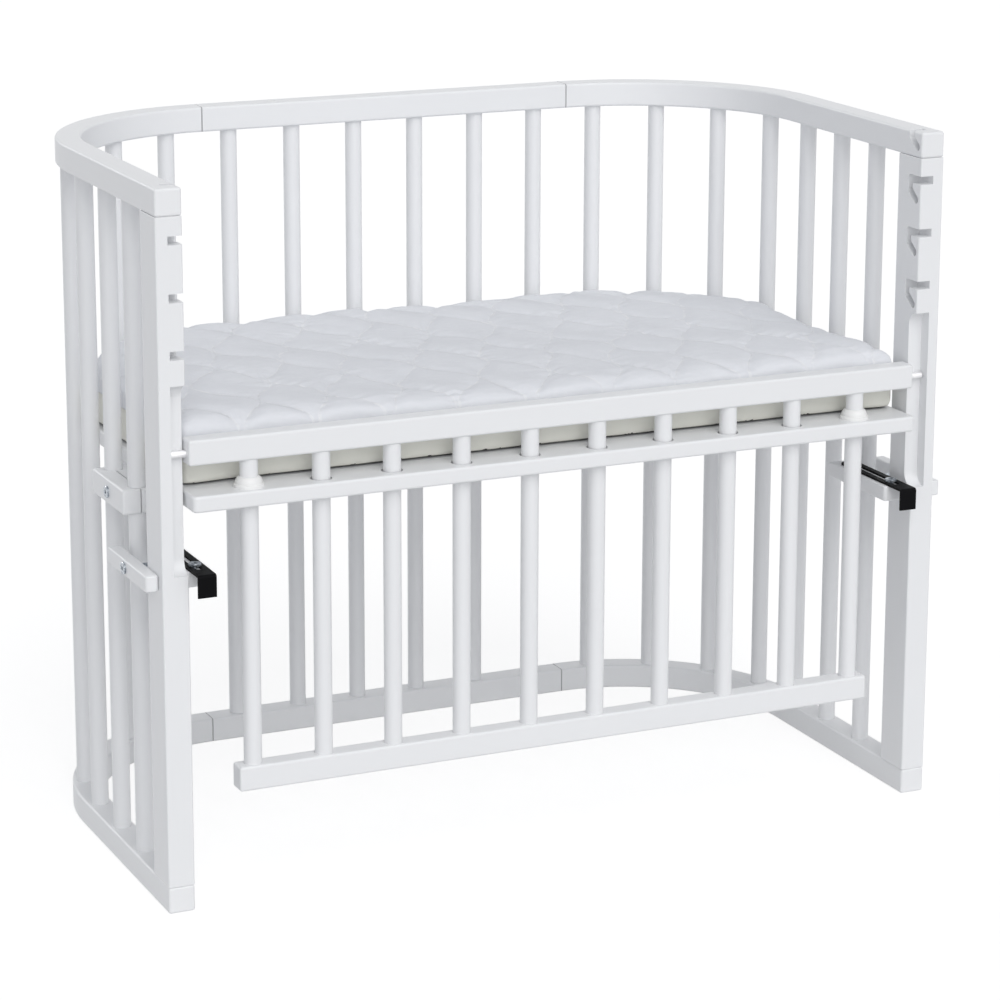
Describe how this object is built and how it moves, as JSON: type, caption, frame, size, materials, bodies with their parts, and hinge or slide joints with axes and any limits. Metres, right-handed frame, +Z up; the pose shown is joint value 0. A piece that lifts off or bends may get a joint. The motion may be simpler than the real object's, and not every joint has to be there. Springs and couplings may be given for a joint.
{
  "type": "bedside sleeper crib",
  "caption": "Crib open on one side to stand against a bed: U-shaped bar frame, clamped base board with mattress, lift-up closure gate and two bed brackets.",
  "frame": {"origin": "on the floor, at the middle of the bounding box in plan", "axes": "+X to the right as seen from the bed, +Y from the bed to the back of the crib, +Z up"},
  "size_m": [0.9834, 0.5662, 0.795],
  "materials": {
    "white_lacquer": "satin white lacquer",
    "bare_beech": "bare",
    "white_plastic": "satin",
    "zinc": "zinc plated",
    "black_steel": "satin black powder coat",
    "mattress_cover": "quilted cotton over foam"
  },
  "bodies": {
    "frame": {"bottom_rim_left": "white_lacquer", "bottom_rim_back": "white_lacquer", "bottom_rim_right": "white_lacquer", "top_rim_left": "white_lacquer", "top_rim_back": "white_lacquer", "top_rim_right": "white_lacquer", "post_left": "white_lacquer", "post_right": "white_lacquer", "bar_01": "white_lacquer", "bar_02": "white_lacquer", "bar_03": "white_lacquer", "bar_04": "white_lacquer", "bar_05": "white_lacquer", "bar_06": "white_lacquer", "bar_07": "white_lacquer", "bar_08": "white_lacquer", "bar_09": "white_lacquer", "bar_10": "white_lacquer", "bar_11": "white_lacquer", "bar_12": "white_lacquer", "bar_13": "white_lacquer", "bar_14": "white_lacquer", "bar_15": "white_lacquer", "bar_16": "white_lacquer", "bar_17": "white_lacquer", "bar_18": "white_lacquer", "bar_19": "white_lacquer", "bar_20": "white_lacquer", "joint_dowels": "bare_beech", "plug_caps": "white_plastic"},
    "base": {"base_board": "white_lacquer", "mattress": "mattress_cover", "clamp_outer_left": "white_lacquer", "clamp_inner_left": "white_lacquer", "clamp_outer_right": "white_lacquer", "clamp_inner_right": "white_lacquer", "clamp_blocks_rear": "white_lacquer", "base_clamp_screws": "zinc"},
    "gate": {"gate_top_rail": "white_lacquer", "gate_bottom_rail": "white_lacquer", "gate_bar_01": "white_lacquer", "gate_bar_02": "white_lacquer", "gate_bar_03": "white_lacquer", "gate_bar_04": "white_lacquer", "gate_bar_05": "white_lacquer", "gate_bar_06": "white_lacquer", "gate_bar_07": "white_lacquer", "gate_bar_08": "white_lacquer", "gate_bar_09": "white_lacquer", "gate_bar_10": "white_lacquer", "gate_pins": "zinc", "gate_stops": "white_plastic"},
    "carrier_left": {"carrier_outer_left": "white_lacquer", "carrier_inner_left": "white_lacquer", "carrier_screws_left": "zinc"},
    "bed_bracket_left": {"bracket_left": "black_steel"},
    "carrier_right": {"carrier_outer_right": "white_lacquer", "carrier_inner_right": "white_lacquer", "carrier_screws_right": "zinc"},
    "bed_bracket_right": {"bracket_right": "black_steel"}
  },
  "joints": [
    {"name": "base_height", "type": "slide", "parent": "frame", "child": "base", "axis": [0, 0, 1], "range_m": [-0.03, 0.02]},
    {"name": "gate_lift", "type": "slide", "parent": "base", "child": "gate", "axis": [0, 0, 1], "range_m": [0, 0.03]},
    {"name": "carrier_height_left", "type": "slide", "parent": "frame", "child": "carrier_left", "axis": [0, 0, 1], "range_m": [-0.15, 0]},
    {"name": "bracket_reach_left", "type": "slide", "parent": "carrier_left", "child": "bed_bracket_left", "axis": [0, -1, 0], "range_m": [-0.012, 0.084]},
    {"name": "carrier_height_right", "type": "slide", "parent": "frame", "child": "carrier_right", "axis": [0, 0, 1], "range_m": [-0.15, 0]},
    {"name": "bracket_reach_right", "type": "slide", "parent": "carrier_right", "child": "bed_bracket_right", "axis": [0, -1, 0], "range_m": [-0.012, 0.084]}
  ]
}
